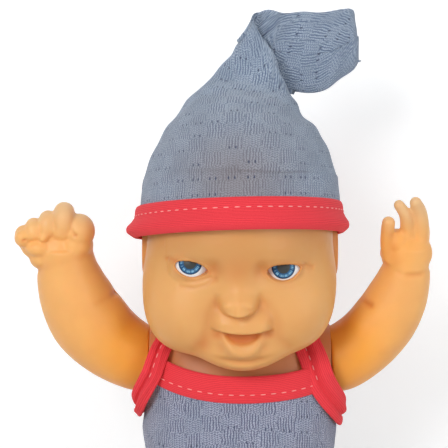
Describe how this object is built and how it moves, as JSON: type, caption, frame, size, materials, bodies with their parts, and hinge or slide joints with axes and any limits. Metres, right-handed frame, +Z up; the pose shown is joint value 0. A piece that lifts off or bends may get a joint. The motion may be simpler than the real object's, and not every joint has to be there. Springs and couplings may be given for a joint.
{
  "type": "baby doll",
  "caption": "Seated vinyl baby doll with raised jointed arms, jointed legs and a turning head, in a grey-blue knitted stocking cap and romper edged with red tape.",
  "frame": {"origin": "on the floor under the flat seat of the romper, 6 mm ahead of the crotch seam", "axes": "+Z up along the body, -Y the way the doll faces, +X to the right of someone who looks at its face (the doll's left)"},
  "size_m": [0.1463, 0.1192, 0.201],
  "materials": {
    "vinyl_skin": "soft satin vinyl",
    "eye_white": "gloss",
    "iris_blue": "gloss",
    "grey_blue_knit": "fine cotton knit",
    "red_tape": "ribbed cotton tape"
  },
  "bodies": {
    "body": {"torso": "vinyl_skin", "romper_front": "grey_blue_knit", "romper_back": "grey_blue_knit", "chest_binding": "red_tape", "back_binding": "red_tape", "right_strap_binding": "red_tape", "left_strap_binding": "red_tape", "right_leg_binding": "red_tape", "left_leg_binding": "red_tape"},
    "head": {"head": "vinyl_skin", "right_eye": "eye_white", "left_eye": "eye_white", "right_iris": "iris_blue", "left_iris": "iris_blue"},
    "cap": {"hat_knit": "grey_blue_knit", "hat_binding": "red_tape"},
    "right_arm": {"right_arm": "vinyl_skin"},
    "left_arm": {"left_arm": "vinyl_skin"},
    "right_leg": {"right_leg": "vinyl_skin"},
    "left_leg": {"left_leg": "vinyl_skin"}
  },
  "joints": [
    {"name": "head_turn", "type": "hinge", "parent": "body", "child": "head", "pos_m": [0, 0.006, 0.0895], "axis": [0, 0, 1], "range_deg": [-18, 18]},
    {"name": "cap_lift", "type": "slide", "parent": "head", "child": "cap", "axis": [0, 0.2588, 0.9659], "range_m": [0, 0.075]},
    {"name": "right_shoulder", "type": "hinge", "parent": "body", "child": "right_arm", "pos_m": [-0.0324, 0.006, 0.0765], "axis": [1, 0, 0], "continuous": true},
    {"name": "left_shoulder", "type": "hinge", "parent": "body", "child": "left_arm", "pos_m": [0.0324, 0.006, 0.0765], "axis": [1, 0, 0], "continuous": true},
    {"name": "right_hip", "type": "hinge", "parent": "body", "child": "right_leg", "pos_m": [-0.0234, 0.005, 0.019], "axis": [0.9613, 0, 0.2756], "range_deg": [-6, 88]},
    {"name": "left_hip", "type": "hinge", "parent": "body", "child": "left_leg", "pos_m": [0.0234, 0.005, 0.019], "axis": [0.9613, 0, -0.2756], "range_deg": [-6, 88]}
  ]
}
